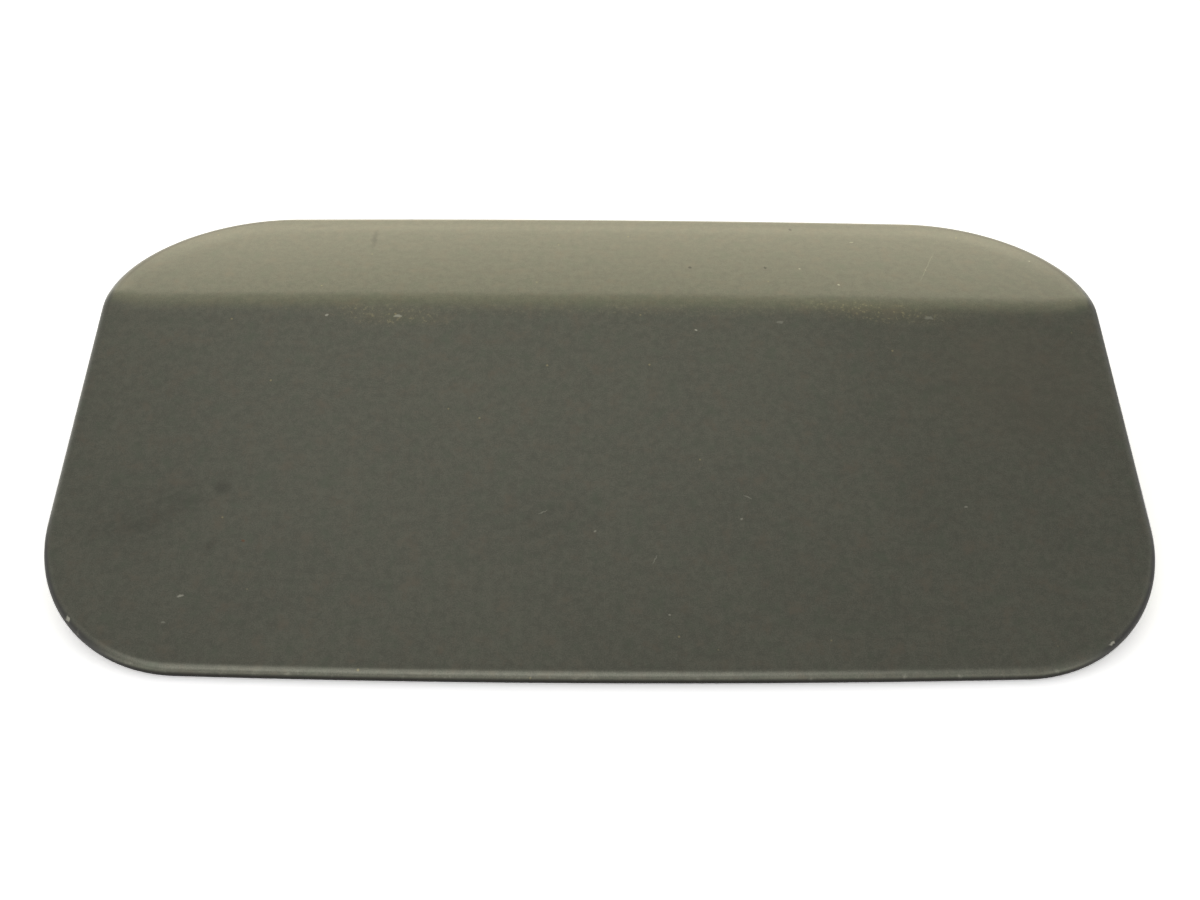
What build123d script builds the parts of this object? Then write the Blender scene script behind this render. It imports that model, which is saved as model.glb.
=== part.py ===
from build123d import *
import math
import os

# Car fuel door: a pressed steel skin hemmed round an inner panel, with an
# over-centre hinge near one end and a latch striker near the other.
# Millimetres and degrees. Door axes while it is built: X across the door towards
# the hinge, Y up the door towards the crease, Z out of the painted face.
# Depths are measured down from the painted face. At the end the door is laid
# on its back as it comes to rest: near edge, hinge foot and striker on the ground.

# Painted face
panel_width = 210.0
main_length = 83.6
strip_length = 37.9
crease_angle = 24.0
crease_radius = 12.0
crown_radius = 5000.0
near_radius = 29.9
far_corner_run = 4.0
near_edge_radius = 2386.0

# Sheets and hem
skin_sheet = 0.9
inner_sheet = 0.8
hem_grip = 0.05
hem_end_gap = 0.15
hem_width = 8.0

# Pan of the inner panel
pan_inset = 14.0
pan_depth = 6.0
pan_round = 3.2
bead_width = 9.0
bead_rise = 1.4
bead_draft = 30.0
bead_length = 74.0
bead_x = -8.0
near_bead_up = 25.0
far_bead_setback = 10.0
strip_bead_up = 13.5
strip_bead_length = 96.0
window_radius = 8.0
window_pitch = 27.0
window_count = 3
window_setback = 34.0
drain_radius = 2.0
drain_inset = 47.0
drain_up = 22.0

# Hinge
hinge_inset = 33.0
hinge_setback = 13.5
pivot_depth = 13.0
pin_radius = 2.0
pin_head_radius = 3.6
pin_head = 1.5
pin_tail = 2.6
groove_radius = 1.5
clip_radius = 3.8
clip_sheet = 0.8
clip_mouth = 2.6
run_gap = 0.05
side_gap = 0.2
hinge_sheet = 1.5
bend_inside = 0.8
ear_radius = 5.0
bush_radius = 3.0
bush_flange_radius = 4.8
bush_flange = 1.0
leaf_reach = 30.0
base_half = 8.0
base_reach = 36.0
base_ear_foot = 9.0
base_rail = 4.5
base_slope = 18.5
screw_radius = 2.75
screw_pitch = 17.0
screw_setback = 20.0

# Over-centre wire spring
wire_radius = 0.7
hook_back = 4.2
hook_drop = 5.6
hook_rim = 2.3
tab_back = 28.0
tab_drop = 4.0
tab_rim = 2.8
spring_gap = 0.6
hook_tail = 1.5
hook_bend = 1.6
bow_angle = 60.0

# Striker
striker_inset = 25.0
striker_setback = 18.0
striker_sheet = 2.0
striker_round = 6.0
eye_radius = 3.2
foot_length = 23.0

# Rivets
rivet_radius = 2.0
rivet_head_radius = 3.5
rivet_head = 1.1
rivet_tail_radius = 3.0
rivet_tail = 0.8
leaf_rivet_x = (9.0, 23.0)
striker_rivet_x = (7.5, 16.5)

# Rubber buffers
buffer_inset = 35.0
buffer_up = (26.0, 43.0)
buffer_radius = 5.5
buffer_height = 4.0
buffer_neck = 3.0
buffer_barb = 3.8
buffer_barb_height = 1.6
buffer_round = 1.2

# Worked-out sizes
overrun = 25.0
fold = math.radians(crease_angle)
hem_total = 2 * skin_sheet + inner_sheet + 2 * hem_grip
rim_round = 0.6 * hem_total
hem_round = 0.33 * hem_total
bend_start = main_length - crease_radius * math.tan(fold / 2)
half_width = panel_width / 2
far_radius = strip_length - far_corner_run
pan_floor = -pan_depth
pivot_x = half_width - hinge_inset
hinge_y = main_length - hinge_setback
striker_x = striker_inset - half_width
striker_y = main_length - striker_setback
buffer_x = buffer_inset - half_width
leaf_under = pan_floor - hinge_sheet
pivot_z = -pivot_depth
bend_outside = bend_inside + hinge_sheet
bend_band = 1.2 * bend_outside
leaf_inner = base_half + side_gap + bush_flange
leaf_half = leaf_inner + hinge_sheet
pin_start = hinge_y - leaf_half - side_gap
pin_groove = hinge_y + leaf_half + side_gap
spring_y = hinge_y + leaf_half + spring_gap + wire_radius
near_touch_x = half_width - near_radius
near_touch_y = near_touch_x**2 / (2 * near_edge_radius) + hem_round
near_touch_z = -near_touch_x**2 / (2 * crown_radius) - hem_total + hem_round
rest = math.radians(base_slope)
ground = near_touch_y * math.sin(rest) + near_touch_z * math.cos(rest) - hem_round
eye_z = (ground + striker_round - striker_y * math.sin(rest)) / math.cos(rest)

strip_plane = Plane(
    origin=(0, main_length, 0),
    x_dir=(1, 0, 0),
    z_dir=(0, math.sin(fold), math.cos(fold)),
)
crease_seam = Plane(
    origin=(0, main_length, 0),
    x_dir=(1, 0, 0),
    z_dir=(0, math.cos(fold / 2), -math.sin(fold / 2)),
)
crown_axis = Axis((0, 0, -crown_radius), (0, 1, 0))
screw_place = Plane(
    origin=(pivot_x - screw_setback, hinge_y, (ground - hinge_y * math.sin(rest)) / math.cos(rest)),
    x_dir=(1, 0, 0),
    z_dir=(0, math.sin(rest), math.cos(rest)),
)


def creased_line(depth):
    # Main face, rolled crease and strip in side view, at one depth
    radius = crease_radius - depth
    turn = (bend_start + radius * math.sin(fold), radius * math.cos(fold) - crease_radius)
    middle = (
        bend_start + radius * math.sin(fold / 2),
        radius * math.cos(fold / 2) - crease_radius,
    )
    run = strip_length + overrun
    end = (turn[0] + run * math.cos(fold), turn[1] - run * math.sin(fold))
    start = (-overrun, -depth)
    bend = (bend_start, -depth)
    return [Line(start, bend), ThreePointArc(bend, middle, turn), Line(turn, end)]


def section(top, bottom):
    # Closed side view between two depths
    upper = creased_line(top)
    lower = creased_line(bottom)
    ends = [Line(upper[0] @ 0, lower[0] @ 0), Line(upper[2] @ 1, lower[2] @ 1)]
    return Plane.YZ * make_face(upper + lower + ends)


def crowned(top, bottom):
    # The creased section swept round the crown, wider than the door
    half_turn = math.degrees((half_width + overrun) / crown_radius)
    start = section(top, bottom).rotate(crown_axis, -half_turn)
    return revolve(start, crown_axis, 2 * half_turn)


def straight(top, bottom):
    # The creased section with no crown, for the flat floor of the pan
    return extrude(section(top, bottom), half_width + overrun, both=True)


def rim_block(inset, bowed=True):
    # Everything inside the door's outline, drawn in by an inset:
    # one prism square to the main face and one square to the strip, joined at the crease
    half = half_width - inset
    sweep = near_edge_radius - inset
    rise = sweep - math.sqrt(sweep**2 - half**2) if bowed else 0
    left = (-half, inset + rise)
    right = (half, inset + rise)
    top_left = (-half, main_length + overrun)
    top_right = (half, main_length + overrun)
    near_edge = ThreePointArc(left, (0, inset), right) if bowed else Line(left, right)
    sides = Polyline(right, top_right, top_left, left)
    main = make_face([near_edge, *sides.edges()])
    main = fillet(main.vertices().group_by(Axis.Y)[0], near_radius - inset)
    reach = strip_length - inset + overrun
    strip = Pos(0, strip_length - inset - reach / 2) * Rectangle(2 * half, reach)
    strip = fillet(strip.vertices().group_by(Axis.Y)[-1], far_radius - inset)
    main = split(extrude(main, 2 * overrun, both=True), crease_seam, Keep.BOTTOM)
    strip = strip_plane * extrude(strip, 2 * overrun, both=True)
    return main + split(strip, crease_seam, Keep.TOP)


def rim_edges(block, side):
    # Edges where the broad faces of one side, 1 above or -1 below, meet the wall along the outline
    walls = block.faces().filter_by(lambda face: abs(face.normal_at().Z) < 0.5)
    broad = block.faces().filter_by(lambda face: side * face.normal_at().Z > 0.5)
    wall_edges = walls.edges()
    return ShapeList([edge for edge in broad.edges() if edge in wall_edges])


def make_skin():
    # Painted skin with its edge folded back on itself to grip the inner panel
    skin = crowned(0, hem_total) & rim_block(0)
    skin = fillet(rim_edges(skin, 1), rim_round)
    skin = fillet(rim_edges(skin, -1), hem_round)
    skin -= crowned(skin_sheet, hem_total + overrun / 2 - crease_radius / 2) & rim_block(hem_width)
    skin -= crowned(skin_sheet, hem_total - skin_sheet) & rim_block(skin_sheet)
    return skin


def pan_block(depth, inset, edge_round):
    block = straight(-overrun, depth) & rim_block(inset, bowed=False)
    return fillet(rim_edges(block, -1), edge_round)


def bead(place, length):
    # A pressed rib: the shape that stands up and the hollow behind it
    rib = extrude(SlotOverall(length, bead_width), bead_rise + inner_sheet, taper=bead_draft)
    inside = SlotOverall(length - 2 * inner_sheet, bead_width - 2 * inner_sheet)
    hollow = extrude(inside, bead_rise, taper=bead_draft)
    return place * rib, place * hollow


def make_inner_panel():
    # Flange held in the hem, stepped down to a flat-floored pan with ribs and windows
    flange_top = skin_sheet + hem_grip
    flange = crowned(flange_top, flange_top + inner_sheet) & rim_block(skin_sheet + hem_end_gap)
    pan = pan_block(pan_depth, pan_inset, pan_round)
    pan -= crowned(-2 * overrun, flange_top)
    panel = flange + pan
    panel -= pan_block(pan_depth - inner_sheet, pan_inset + inner_sheet, pan_round - inner_sheet)
    ups = (near_bead_up, main_length - far_bead_setback)
    places = [(Pos(bead_x, y, pan_floor), bead_length) for y in ups]
    places.append((strip_plane * Pos(0, strip_bead_up, pan_floor), strip_bead_length))
    for place, length in places:
        rib, hollow = bead(place, length)
        panel = panel + rib - hollow
    punch = 4 * inner_sheet
    windows = GridLocations(window_pitch, 0, window_count, 1)
    window_row = Pos(bead_x, main_length - window_setback, pan_floor)
    panel -= window_row * windows * Cylinder(window_radius, punch)
    drains = GridLocations(2 * (half_width - drain_inset), 0, 2, 1)
    panel -= Pos(0, drain_up, pan_floor) * drains * Cylinder(drain_radius, punch)
    for x, y in leaf_rivet_places() + striker_rivet_places():
        panel -= Pos(x, y, pan_floor) * Cylinder(rivet_radius, punch)
    for y in buffer_up:
        panel -= Pos(buffer_x, y, pan_floor) * Cylinder(buffer_neck, punch)
    return panel


def leaf_rivet_places():
    return [(pivot_x - back, hinge_y) for back in leaf_rivet_x]


def striker_rivet_places():
    return [(striker_x + along, striker_y) for along in striker_rivet_x]


def rivet(grip):
    # Domed head below, shank through the sheets, set tail above; z = 0 is under the head's seat
    dome = (rivet_head_radius**2 + rivet_head**2) / (2 * rivet_head)
    head = Pos(0, 0, dome - rivet_head) * Sphere(dome)
    head &= Pos(0, 0, -rivet_head) * Cylinder(dome, rivet_head, align=(Align.CENTER, Align.CENTER, Align.MIN))
    shank = Cylinder(rivet_radius, grip, align=(Align.CENTER, Align.CENTER, Align.MIN))
    tail = Pos(0, 0, grip) * Cone(
        rivet_tail_radius,
        rivet_radius,
        rivet_tail,
        align=(Align.CENTER, Align.CENTER, Align.MIN),
    )
    return head + shank + tail


def rivet_group(places, under, grip):
    return [Pos(x, y, under) * rivet(grip) for x, y in places]


def across(sketch, start, end):
    # A plate lying square to the hinge pin, between two stations along it
    return Pos(0, end, 0) * extrude(Plane.XZ * sketch, end - start)


def along_pin(radius, start, end):
    return Pos(pivot_x, start, pivot_z) * Rot(X=-90) * Cylinder(
        radius,
        end - start,
        align=(Align.CENTER, Align.CENTER, Align.MIN),
    )


def disc(x, z, radius):
    return Pos(x, z) * Circle(radius)


def bar(x_start, x_end, z_start, z_end):
    middle = Pos((x_start + x_end) / 2, (z_start + z_end) / 2)
    return middle * Rectangle(x_end - x_start, z_end - z_start)


def wrapped(*shapes):
    # Outline drawn tight round several shapes
    edges = [edge for shape in shapes for edge in shape.edges()]
    return make_hull(edges)


def edge_along(plate, y, z):
    # The edge across the door that runs nearest a point of the side view
    edges = plate.edges().filter_by(Axis.X)
    return min(edges, key=lambda edge: math.hypot(edge.center().Y - y, edge.center().Z - z))


def make_leaf():
    # Door half of the hinge: a plate on the pan with two ears bent down beside the base
    near = pivot_x - leaf_reach
    end = pivot_x + ear_radius
    plate = across(bar(near, end, leaf_under, pan_floor), hinge_y - leaf_half, hinge_y + leaf_half)
    band = bar(near, end, pan_floor - bend_band, pan_floor)
    lobe = disc(pivot_x, pivot_z, ear_radius)
    hook = disc(pivot_x - hook_back, pivot_z - hook_drop, hook_rim + wire_radius)
    plain = wrapped(band, lobe)
    hooked = wrapped(band, lobe, hook)
    leaf = plate + across(plain, hinge_y - leaf_half, hinge_y - leaf_inner)
    leaf += across(hooked, hinge_y + leaf_inner, hinge_y + leaf_half)
    inside = [edge_along(leaf, hinge_y + side * leaf_inner, leaf_under) for side in (-1, 1)]
    leaf = fillet(inside, bend_inside)
    outside = [edge_along(leaf, hinge_y + side * leaf_half, pan_floor) for side in (-1, 1)]
    leaf = fillet(outside, bend_outside)
    leaf -= along_pin(bush_radius, hinge_y - 2 * leaf_half, hinge_y + 2 * leaf_half)
    hole = disc(pivot_x - hook_back, pivot_z - hook_drop, wire_radius + run_gap)
    leaf -= across(hole, hinge_y, hinge_y + 2 * leaf_half)
    for x, y in leaf_rivet_places():
        leaf -= Pos(x, y, leaf_under) * Cylinder(rivet_radius, 4 * hinge_sheet)
    return leaf


def ground_z(y):
    # Height of the ground, and so of the hinge's foot, under a point of the door
    return (ground - y * math.sin(rest)) / math.cos(rest)


def foot_section(start, end, low, high):
    # Side view of a layer over the ground, between two heights square to it
    rise = [height / math.cos(rest) for height in (low, high)]
    corners = [(start, ground_z(start) + rise[0]), (end, ground_z(end) + rise[0])]
    corners += [(end, ground_z(end) + rise[1]), (start, ground_z(start) + rise[1])]
    return Plane.YZ * make_face(Polyline(*corners, close=True))


def base_side(foot_z, tab):
    # One side of the base: low rail, ear for the pin and, where a tab is asked for, the spring's tab
    low = pivot_x - base_reach
    high = pivot_x + ear_radius
    bottom = foot_z - base_rail
    top = foot_z + base_rail
    ear_foot = bar(pivot_x - base_ear_foot, high, bottom, top)
    side = bar(low, high, bottom, top) + wrapped(ear_foot, disc(pivot_x, pivot_z, ear_radius))
    if tab:
        tab_x = pivot_x - tab_back
        tab_z = pivot_z - tab_drop
        reach = tab + wire_radius
        side += wrapped(bar(tab_x - reach, tab_x + reach, bottom, top), disc(tab_x, tab_z, reach))
        side -= disc(tab_x, tab_z, wire_radius + run_gap)
    return side


def make_base():
    # Body half of the hinge: a channel screwed to the filler pocket, its foot sloped to the door,
    # with two ears for the pin and a tab for the spring
    low = pivot_x - base_reach
    length = base_reach + ear_radius
    inner = base_half - hinge_sheet
    outer_faces = (hinge_y - base_half, hinge_y + base_half)
    inner_faces = (hinge_y - inner, hinge_y + inner)
    base = Pos(low, 0, 0) * extrude(foot_section(*outer_faces, 0, hinge_sheet), length)
    near_ear = base_side(ground_z(hinge_y - inner), 0)
    far_ear = base_side(ground_z(hinge_y + inner), tab_rim)
    base += across(near_ear, outer_faces[0], inner_faces[0])
    base += across(far_ear, inner_faces[1], outer_faces[1])
    base -= Pos(low, 0, 0) * extrude(foot_section(*outer_faces, -2 * base_rail, 0), length)
    top_rise = hinge_sheet / math.cos(rest)
    inside = [edge_along(base, y, ground_z(y) + top_rise) for y in inner_faces]
    base = fillet(inside, bend_inside)
    outside = [edge_along(base, y, ground_z(y)) for y in outer_faces]
    base = fillet(outside, bend_outside)
    base -= along_pin(pin_radius, hinge_y - 2 * leaf_half, hinge_y + 2 * leaf_half)
    screws = GridLocations(screw_pitch, 0, 2, 1)
    return base - screw_place * screws * Cylinder(screw_radius, 4 * hinge_sheet)


def make_pin():
    pin = along_pin(pin_radius, pin_start, pin_groove + pin_tail)
    pin += along_pin(pin_head_radius, pin_start - pin_head, pin_start)
    groove = along_pin(pin_head_radius, pin_groove, pin_groove + clip_sheet + 2 * run_gap)
    groove -= along_pin(groove_radius, pin_groove, pin_groove + clip_sheet + 2 * run_gap)
    return pin - groove


def make_clip():
    # Open spring ring in the pin's groove
    start = pin_groove + run_gap
    clip = along_pin(clip_radius, start, start + clip_sheet)
    clip -= along_pin(groove_radius + run_gap, start, start + clip_sheet)
    mouth = Box(2 * clip_radius, 2 * clip_sheet, clip_mouth, align=(Align.MIN, Align.CENTER, Align.CENTER))
    return clip - Pos(pivot_x, start + clip_sheet / 2, pivot_z) * mouth


def make_bush(side):
    # Flanged nylon bush: sleeve in the leaf's ear, flange between the two ears
    sleeve = sorted((hinge_y + side * leaf_inner, hinge_y + side * leaf_half))
    flange = sorted((hinge_y + side * (leaf_inner - bush_flange), hinge_y + side * leaf_inner))
    bush = along_pin(bush_radius, *sleeve) + along_pin(bush_flange_radius, *flange)
    return bush - along_pin(pin_radius + run_gap, hinge_y - 2 * leaf_half, hinge_y + 2 * leaf_half)


def make_spring():
    # A bow of spring wire from the base's tab to the leaf's hook hole, both ends turned in
    hook = Vector(pivot_x - hook_back, spring_y, pivot_z - hook_drop)
    tab = Vector(pivot_x - tab_back, spring_y, pivot_z - tab_drop)
    along = (hook - tab).normalized()
    rise = Vector(-along.Z, 0, along.X)
    lean = math.radians(bow_angle)
    leave = along * math.cos(lean) + rise * math.sin(lean)
    arrive = along * math.cos(lean) - rise * math.sin(lean)
    bow_start = tab + leave * hook_bend
    bow_end = hook - arrive * hook_bend
    crest = (bow_start + bow_end) * 0.5 + rise * ((bow_end - bow_start).length / 2 * math.tan(lean / 2))
    turn_in = Vector(0, -hook_bend, 0)
    tab_tail = Vector(0, hinge_y + base_half - hinge_sheet - hook_tail - spring_y, 0)
    hook_tail_end = Vector(0, hinge_y + leaf_inner - spring_y, 0)
    path = Wire([
        Line(tab + tab_tail, tab + turn_in),
        TangentArc(tab + turn_in, bow_start, tangent=(0, 1, 0)),
        ThreePointArc(bow_start, crest, bow_end),
        TangentArc(bow_end, hook + turn_in, tangent=arrive),
        Line(hook + turn_in, hook + hook_tail_end),
    ])
    start = Plane(origin=tab + tab_tail, z_dir=(0, 1, 0))
    return sweep(start * Circle(wire_radius), path=path)


def make_striker():
    # A foot riveted to the pan and a blade bent down, with the eye for the lock's bolt
    back = striker_x - striker_sheet / 2
    under = pan_floor - striker_sheet
    width = 2 * striker_round
    foot = Pos(back + foot_length / 2, striker_y) * Rectangle(foot_length, width)
    foot = fillet(foot.vertices().group_by(Axis.X)[-1], striker_round / 2)
    striker = Pos(0, 0, under) * extrude(foot, striker_sheet)
    top = Pos(striker_y, under + striker_sheet / 2) * Rectangle(width, striker_sheet)
    blade = wrapped(top, disc(striker_y, eye_z, striker_round))
    blade &= Pos(striker_y, pan_floor - pivot_depth) * Rectangle(width, 2 * pivot_depth)
    blade -= disc(striker_y, eye_z, eye_radius)
    striker += Pos(back, 0, 0) * extrude(Plane.YZ * blade, striker_sheet)
    inside = striker.edges().filter_by(Axis.Y).sort_by_distance((back + striker_sheet, striker_y, under))[0]
    striker = fillet(inside, bend_inside)
    outside = striker.edges().filter_by(Axis.Y).sort_by_distance((back, striker_y, pan_floor))[0]
    striker = fillet(outside, bend_inside + striker_sheet / 2)
    for x, y in striker_rivet_places():
        striker -= Pos(x, y, under) * Cylinder(rivet_radius, 4 * striker_sheet)
    return striker


def make_buffer(y):
    # Rubber button whose neck and barb are pushed through the pan
    seat = (Align.CENTER, Align.CENTER, Align.MAX)
    head = Cone(buffer_radius - buffer_round, buffer_radius, buffer_height, align=seat)
    head = fillet(head.edges().group_by(Axis.Z)[0], buffer_round)
    up = (Align.CENTER, Align.CENTER, Align.MIN)
    neck = Cylinder(buffer_neck, inner_sheet, align=up)
    barb = Pos(0, 0, inner_sheet) * Cone(buffer_barb, buffer_neck, buffer_barb_height, align=up)
    return Pos(buffer_x, y, pan_floor) * (head + neck + barb)


pieces = {
    "outer_skin": [make_skin()],
    "inner_panel": [make_inner_panel()],
    "hinge_leaf": [make_leaf()],
    "leaf_rivets": rivet_group(leaf_rivet_places(), leaf_under, hinge_sheet + inner_sheet),
    "hinge_base": [make_base()],
    "hinge_pin": [make_pin()],
    "pin_clip": [make_clip()],
    "bush_near": [make_bush(-1)],
    "bush_far": [make_bush(1)],
    "hinge_spring": [make_spring()],
    "striker": [make_striker()],
    "striker_rivets": rivet_group(
        striker_rivet_places(), pan_floor - striker_sheet, striker_sheet + inner_sheet
    ),
    "buffer_near": [make_buffer(buffer_up[0])],
    "buffer_far": [make_buffer(buffer_up[1])],
}

# Lay the door on its back: turn it to its rest angle, set it on the ground, centre it
turned = Rot(X=base_slope)
box = (turned * pieces["outer_skin"][0]).bounding_box()
laid = Pos(-box.center().X, -box.center().Y, -ground) * turned

os.makedirs("parts", exist_ok=True)
for name, solids in pieces.items():
    placed = [laid * solid for solid in solids]
    export_step(placed[0] if len(placed) == 1 else Compound(children=placed), f"parts/{name}.step")

places = {
    "hinge axis": (pivot_x, hinge_y, pivot_z),
    "hinge screws": tuple(screw_place.origin),
    "latch eye": (striker_x, striker_y, eye_z),
}
for name, point in places.items():
    print(name, [round(value, 4) for value in (laid * Pos(*point)).position])
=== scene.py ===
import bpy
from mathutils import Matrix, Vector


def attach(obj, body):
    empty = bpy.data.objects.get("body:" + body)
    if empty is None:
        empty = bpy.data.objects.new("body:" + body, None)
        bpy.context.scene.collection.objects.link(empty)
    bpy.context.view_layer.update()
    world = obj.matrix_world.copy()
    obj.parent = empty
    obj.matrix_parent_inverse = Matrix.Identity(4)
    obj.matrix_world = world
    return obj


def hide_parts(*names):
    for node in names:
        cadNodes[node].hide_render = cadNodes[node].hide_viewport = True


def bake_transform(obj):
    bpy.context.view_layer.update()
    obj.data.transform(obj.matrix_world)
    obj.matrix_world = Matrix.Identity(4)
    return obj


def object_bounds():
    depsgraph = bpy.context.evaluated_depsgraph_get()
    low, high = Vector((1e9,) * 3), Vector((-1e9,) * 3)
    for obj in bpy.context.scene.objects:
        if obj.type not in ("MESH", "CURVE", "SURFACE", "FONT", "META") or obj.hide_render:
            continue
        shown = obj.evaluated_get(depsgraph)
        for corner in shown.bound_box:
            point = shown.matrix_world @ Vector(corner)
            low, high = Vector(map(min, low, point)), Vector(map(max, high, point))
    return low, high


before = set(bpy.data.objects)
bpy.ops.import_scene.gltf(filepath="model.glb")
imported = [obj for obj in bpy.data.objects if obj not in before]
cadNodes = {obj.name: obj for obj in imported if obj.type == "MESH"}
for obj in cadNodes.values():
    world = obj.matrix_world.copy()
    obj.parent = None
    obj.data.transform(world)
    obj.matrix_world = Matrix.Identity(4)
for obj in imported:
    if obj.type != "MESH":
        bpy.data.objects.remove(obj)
cadBox = [list(corner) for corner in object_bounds()]
import math
import bpy
import numpy as np
from mathutils import Matrix, Vector

mm = 0.001
scene = bpy.context.scene
print("frame loaded,", len(cadNodes), "nodes")

# how the door lies: door axes turned about X and shifted into the shared frame
lay = {"restAngle": 18.5, "shiftY": -58.6439, "shiftZ": 2.4837}
layCos = math.cos(math.radians(lay["restAngle"]))
laySin = math.sin(math.radians(lay["restAngle"]))


def toFrame(x, y, z):  # door axes in mm to the shared frame in metres
    rowY = y * layCos - z * laySin + lay["shiftY"]
    rowZ = y * laySin + z * layCos + lay["shiftZ"]
    return np.stack([x, rowY, rowZ], axis=-1) * mm


def gridPiece(name, points):
    # points is rows x columns x 3: every cell is a quad, and the columns close round
    rows, cols = points.shape[:2]
    index = np.arange(rows * cols).reshape(rows, cols)
    beside = np.roll(index, -1, axis=1)
    quads = np.stack([index[:-1], beside[:-1], beside[1:], index[1:]], axis=-1).reshape(-1, 4)
    mesh = bpy.data.meshes.new(name)
    mesh.from_pydata(points.reshape(-1, 3).tolist(), [], quads.tolist())
    mesh.polygons.foreach_set("use_smooth", np.ones(len(quads), bool))
    piece = bpy.data.objects.new(name, mesh)
    scene.collection.objects.link(piece)
    return piece


def keepVector(piece, name, values):  # a vector for each point, for the finish to read
    layer = piece.data.attributes.new(name, "FLOAT_VECTOR", "POINT")
    layer.data.foreach_set("vector", values.astype(np.float32).ravel())


# small helpers for material nodes
def add(tree, kind, inputs=None, **props):
    made = tree.nodes.new(kind)
    for key, value in props.items():
        setattr(made, key, value)
    for key, value in (inputs or {}).items():
        if isinstance(value, bpy.types.NodeSocket):
            tree.links.new(value, made.inputs[key])
        else:
            made.inputs[key].default_value = value
    return made


def calc(tree, operation, a, b=0.0, c=0.0):
    return add(tree, "ShaderNodeMath", {0: a, 1: b, 2: c}, operation=operation).outputs[0]


def times(tree, a, b):
    return calc(tree, "MULTIPLY", a, b)


def larger(tree, a, b):
    return calc(tree, "MAXIMUM", a, b)


def scaled(tree, value, share, offset):  # value times share, plus offset
    return calc(tree, "MULTIPLY_ADD", value, share, offset)


def remap(tree, value, low, high, toLow=0.0, toHigh=1.0):  # smooth step between two levels
    inputs = {"Value": value, "From Min": low, "From Max": high, "To Min": toLow, "To Max": toHigh}
    return add(tree, "ShaderNodeMapRange", inputs, interpolation_type="SMOOTHSTEP").outputs[0]


def tint(tree, factor, a, b):  # colour a going over to colour b
    return add(tree, "ShaderNodeMix", {0: factor, 6: a, 7: b}, data_type="RGBA").outputs[2]


def speckle(tree, vector, scale, detail, rough):
    inputs = {"Vector": vector, "Scale": scale, "Detail": detail, "Roughness": rough}
    return add(tree, "ShaderNodeTexNoise", inputs).outputs[0]


def cells(tree, vector, scale):  # distance to the nearest of scattered points, and a colour for each point
    return add(tree, "ShaderNodeTexVoronoi", {"Vector": vector, "Scale": scale}).outputs


def wander(tree, vector, scale, reach):  # coordinates pushed about by a noise, so that edges go ragged
    push = add(tree, "ShaderNodeTexNoise", {"Vector": vector, "Scale": scale, "Detail": 3.0}).outputs["Color"]
    push = add(tree, "ShaderNodeVectorMath", {0: push, 1: (0.5, 0.5, 0.5)}, operation="SUBTRACT").outputs[0]
    inputs = {0: push, 1: (reach, reach, 0.0), 2: vector}
    return add(tree, "ShaderNodeVectorMath", inputs, operation="MULTIPLY_ADD").outputs[0]


def placed(tree, vector, place=(0.0, 0.0, 0.0), turn=0.0, size=(1.0, 1.0, 1.0)):
    # coordinates centred on a place, turned about Z and measured in the given sizes
    inputs = {"Vector": vector, "Location": place, "Rotation": (0.0, 0.0, math.radians(turn)), "Scale": size}
    return add(tree, "ShaderNodeMapping", inputs, vector_type="TEXTURE").outputs[0]


def inMm(tree):  # object coordinates in mm
    place = add(tree, "ShaderNodeTexCoord").outputs["Object"]
    return add(tree, "ShaderNodeVectorMath", {0: place, "Scale": 1 / mm}, operation="SCALE").outputs[0]


def newFinish(name, **sockets):
    material = bpy.data.materials.new(name)
    material.use_nodes = True
    shader = material.node_tree.nodes["Principled BSDF"]
    for key, value in sockets.items():
        shader.inputs[key.replace("_", " ")].default_value = value
    return material, material.node_tree, shader


def wire(tree, shader, **sockets):
    for key, value in sockets.items():
        tree.links.new(value, shader.inputs[key.replace("_", " ")])


def raised(tree, height, distance, strength):  # distance in metres
    inputs = {"Height": height, "Distance": distance, "Strength": strength}
    return add(tree, "ShaderNodeBump", inputs).outputs[0]


def rgb(r, g, b):  # display values 0-255 to a linear colour
    level = np.array([r, g, b]) / 255
    return (*np.where(level <= 0.04045, level / 12.92, ((level + 0.055) / 1.055) ** 2.4).tolist(), 1.0)


# painted skin: crowned, creased sheet with its edge folded under to a flat hem; mm and degrees
skin = {
    "width": 210.0, "main": 83.6, "strip": 37.9, "creaseAngle": 24.0, "creaseRadius": 12.0,
    "crown": 5000.0, "nearCorner": 29.9, "farCorner": 33.9, "nearSweep": 2386.0,
    "sheet": 0.9, "hem": 2.7, "hemWidth": 8.0, "hemEdge": 0.05,  # the last one keeps the hem's edge crisp
    "rimReach": 2.3, "rimRound": 1.8, "hemRound": 0.89,  # edge roll across and down, and the turn below it
    "softRadius": 18.0, "softLead": 0.9,  # how the pressed crease really turns: wider, and a little early
    "flatter": 3.0, "steeper": 1.8,  # the strip's lean off its mean slope, by the crease and at its end
    "easeFrom": 1.0, "easeOver": 8.0,  # the softer section takes over this far in from the rim
    "overrun": 5.0, "stations": 4000,  # the section is summed up past both ends, in so many steps
    "ringInset": 24.0, "poleInset": 84.0,  # rings follow the rim this far in, then close on the middle
    "edgeSteps": (69, 59, 65, 59, 64),  # along half the outline: near edge, corner, side, corner, far edge
    "rings": {"top": 45, "face": 21, "roll": 14, "hem": 8, "back": 13},
}
fold = math.radians(skin["creaseAngle"])
bendStart = skin["main"] - skin["creaseRadius"] * math.tan(fold / 2)
bendEnd = bendStart + skin["creaseRadius"] * fold
stripGap = bendEnd - skin["creaseRadius"] * math.tan(fold / 2)  # unrolled place of the strip's zero line
faceEnd = stripGap + skin["strip"]


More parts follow.
